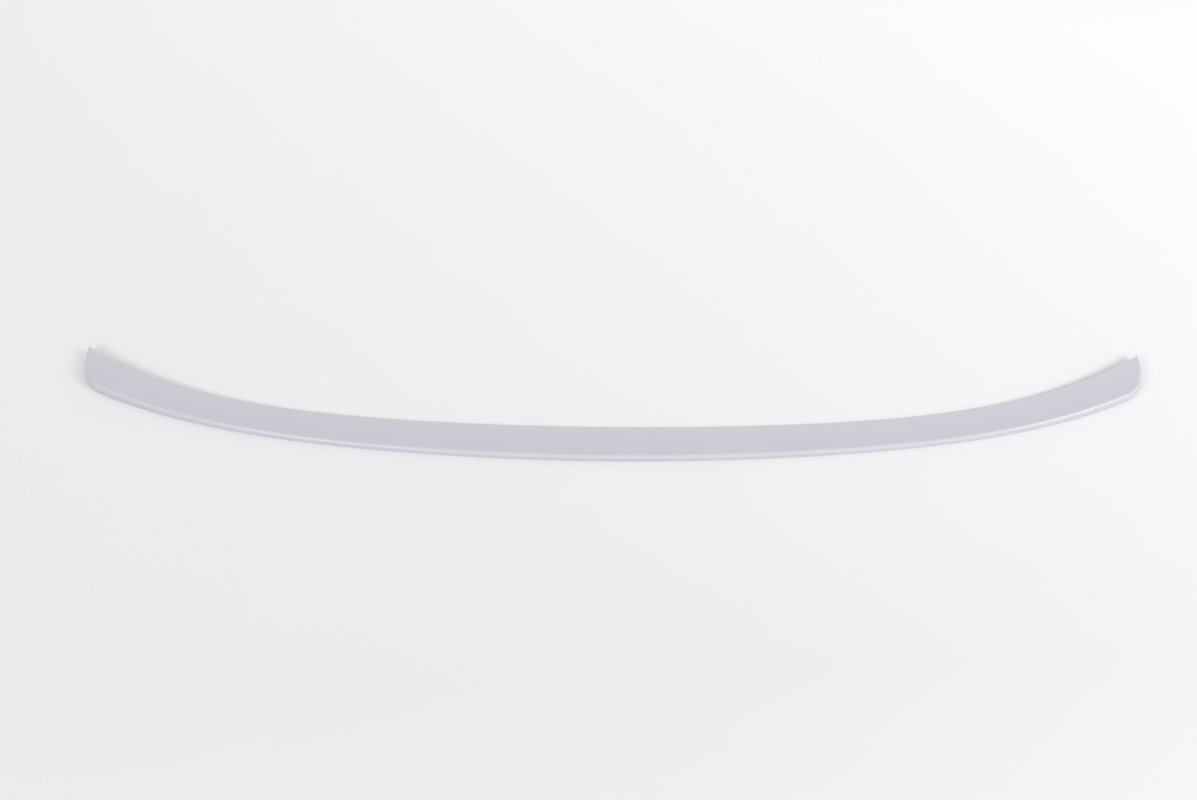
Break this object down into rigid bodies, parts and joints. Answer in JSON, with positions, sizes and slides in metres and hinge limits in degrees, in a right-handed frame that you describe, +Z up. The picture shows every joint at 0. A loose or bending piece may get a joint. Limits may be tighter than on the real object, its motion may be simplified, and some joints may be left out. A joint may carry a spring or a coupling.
{
  "type": "trunk spoiler",
  "caption": "Slim bowed lip spoiler moulded in one piece, with a thin front edge, a kicked-up trailing lip, swept ends and a ribbed hollow underside; bonds to the rear edge of a trunk lid.",
  "frame": {"origin": "on the centre plane, on the lid surface, in the middle of the front bonding land under the front edge", "axes": "+X across the car along the length, +Y towards the front of the car and the thin front edge, +Z up off the lid"},
  "size_m": [1.26, 0.1606, 0.0139],
  "materials": {
    "primed_plastic": "satin light grey primer on moulded plastic"
  },
  "bodies": {
    "root": {"spoiler": "primed_plastic"}
  },
  "joints": []
}
